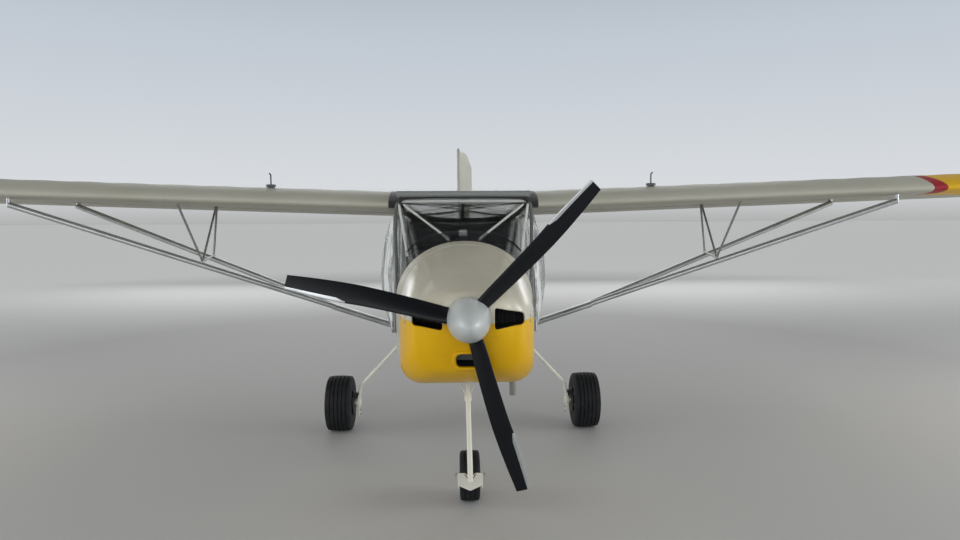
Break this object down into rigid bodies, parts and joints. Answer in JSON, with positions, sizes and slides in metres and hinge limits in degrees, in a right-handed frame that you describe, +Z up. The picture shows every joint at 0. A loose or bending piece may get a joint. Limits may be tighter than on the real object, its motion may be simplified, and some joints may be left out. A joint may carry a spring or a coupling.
{
  "type": "light aircraft",
  "caption": "Strut-braced high-wing light aircraft with nose-wheel gear, tractor propeller, bubble doors, flaps, ailerons, elevator and rudder that move.",
  "frame": {"origin": "on the ground under the middle of the whole length and span", "axes": "+Z up, +Y from the propeller to the tail, +X to the right of a viewer who faces the nose"},
  "size_m": [10.52, 6.0994, 2.5],
  "materials": {
    "cream_gelcoat": "glossy cream fibreglass",
    "yellow_gelcoat": "glossy yellow fibreglass",
    "painted_fabric": "sealed and painted cloth over ribs",
    "grey_aluminium": "satin aluminium",
    "cream_steel": "cream painted steel",
    "bare_steel": "weathered steel",
    "black_composite": "satin black composite",
    "satin_grey": "satin light grey",
    "black_plastic": "matt black",
    "clear_sheet": "clear polycarbonate sheet",
    "tyre_rubber": "ribbed black tyre",
    "seat_cloth": "grey woven seat cloth",
    "cast_alloy": "cast engine alloy"
  },
  "bodies": {
    "airframe": {"cowl_upper": "cream_gelcoat", "boot_cowl": "cream_gelcoat", "cowl_lower": "yellow_gelcoat", "firewall": "grey_aluminium", "roof_fairing": "grey_aluminium", "engine_block": "cast_alloy", "exhaust_pipe": "bare_steel", "nose_leg_socket": "bare_steel", "cabin_cage": "bare_steel", "cabin_tub": "painted_fabric", "fuselage_rear": "painted_fabric", "tailplane": "painted_fabric", "fin": "painted_fabric", "skylight": "clear_sheet", "rear_roof": "clear_sheet", "windscreen": "clear_sheet", "instrument_panel": "black_plastic", "rear_bulkhead": "seat_cloth", "wing_right": "painted_fabric", "lift_strut_front_right": "grey_aluminium", "lift_strut_rear_right": "grey_aluminium", "jury_struts_right": "grey_aluminium", "main_leg_right": "cream_steel", "side_window_right": "clear_sheet", "seat_right": "seat_cloth", "control_stick_right": "black_plastic", "wing_left": "painted_fabric", "lift_strut_front_left": "grey_aluminium", "lift_strut_rear_left": "grey_aluminium", "jury_struts_left": "grey_aluminium", "main_leg_left": "cream_steel", "side_window_left": "clear_sheet", "seat_left": "seat_cloth", "control_stick_left": "black_plastic"},
    "propeller": {"spinner": "satin_grey", "propeller_blade_1": "black_composite", "propeller_blade_2": "black_composite", "propeller_blade_3": "black_composite"},
    "nose_gear": {"nose_leg": "cream_steel"},
    "nose_wheel": {"nose_wheel": "grey_aluminium", "nose_tyre": "tyre_rubber"},
    "elevator": {"elevator": "painted_fabric"},
    "rudder": {"rudder": "painted_fabric"},
    "flap_right": {"flap_right": "painted_fabric"},
    "aileron_right": {"aileron_right": "painted_fabric"},
    "main_wheel_right": {"main_wheel_right": "grey_aluminium", "main_tyre_right": "tyre_rubber"},
    "door_right": {"door_frame_right": "bare_steel", "door_glass_right": "clear_sheet"},
    "flap_left": {"flap_left": "painted_fabric"},
    "aileron_left": {"aileron_left": "painted_fabric"},
    "main_wheel_left": {"main_wheel_left": "grey_aluminium", "main_tyre_left": "tyre_rubber"},
    "door_left": {"door_frame_left": "bare_steel", "door_glass_left": "clear_sheet"}
  },
  "joints": [
    {"name": "propeller_spin", "type": "hinge", "parent": "airframe", "child": "propeller", "pos_m": [0, -2.75967, 1.198], "axis": [0, 1, 0], "continuous": true},
    {"name": "nose_steer", "type": "hinge", "parent": "airframe", "child": "nose_gear", "pos_m": [0.00295, -2.21467, 0.8], "axis": [-0.021, 0, 0.9998], "range_deg": [-20, 20]},
    {"name": "nose_wheel_spin", "type": "hinge", "parent": "nose_gear", "child": "nose_wheel", "pos_m": [0.016, -2.03367, 0.147], "axis": [1, 0, 0], "continuous": true},
    {"name": "elevator_hinge", "type": "hinge", "parent": "airframe", "child": "elevator", "pos_m": [0, 2.41233, 1.735], "axis": [1, 0, 0], "range_deg": [-20, 25]},
    {"name": "rudder_hinge", "type": "hinge", "parent": "airframe", "child": "rudder", "pos_m": [0, 2.54233, 1.9], "axis": [0, 0, -1], "range_deg": [-44, 6]},
    {"name": "main_wheel_right_spin", "type": "hinge", "parent": "airframe", "child": "main_wheel_right", "pos_m": [-0.974, -0.60967, 0.216], "axis": [1, 0, 0], "continuous": true},
    {"name": "door_right_hinge", "type": "hinge", "parent": "airframe", "child": "door_right", "pos_m": [-0.451, -1.05967, 1.69], "axis": [0, 1, 0], "range_deg": [0, 58]},
    {"name": "flap_right_hinge", "type": "hinge", "parent": "airframe", "child": "flap_right", "pos_m": [-1.9, -0.51167, 1.81548], "axis": [-0.9993, 0, 0.0364], "range_deg": [0, 40]},
    {"name": "aileron_right_hinge", "type": "hinge", "parent": "airframe", "child": "aileron_right", "pos_m": [-4.15, -0.51167, 1.89738], "axis": [-0.9993, 0, 0.0364], "range_deg": [-20, 20]},
    {"name": "main_wheel_left_spin", "type": "hinge", "parent": "airframe", "child": "main_wheel_left", "pos_m": [0.974, -0.60967, 0.216], "axis": [1, 0, 0], "continuous": true},
    {"name": "door_left_hinge", "type": "hinge", "parent": "airframe", "child": "door_left", "pos_m": [0.451, -1.05967, 1.69], "axis": [0, -1, 0], "range_deg": [0, 58]},
    {"name": "flap_left_hinge", "type": "hinge", "parent": "airframe", "child": "flap_left", "pos_m": [1.9, -0.51167, 1.81548], "axis": [-0.9993, 0, -0.0364], "range_deg": [0, 40]},
    {"name": "aileron_left_hinge", "type": "hinge", "parent": "airframe", "child": "aileron_left", "pos_m": [4.15, -0.51167, 1.89738], "axis": [-0.9993, 0, -0.0364], "range_deg": [-20, 20]}
  ],
  "couplings": [
    {"joint": "flap_right_hinge", "follows": "flap_left_hinge", "ratio": 1},
    {"joint": "aileron_right_hinge", "follows": "aileron_left_hinge", "ratio": -1}
  ]
}
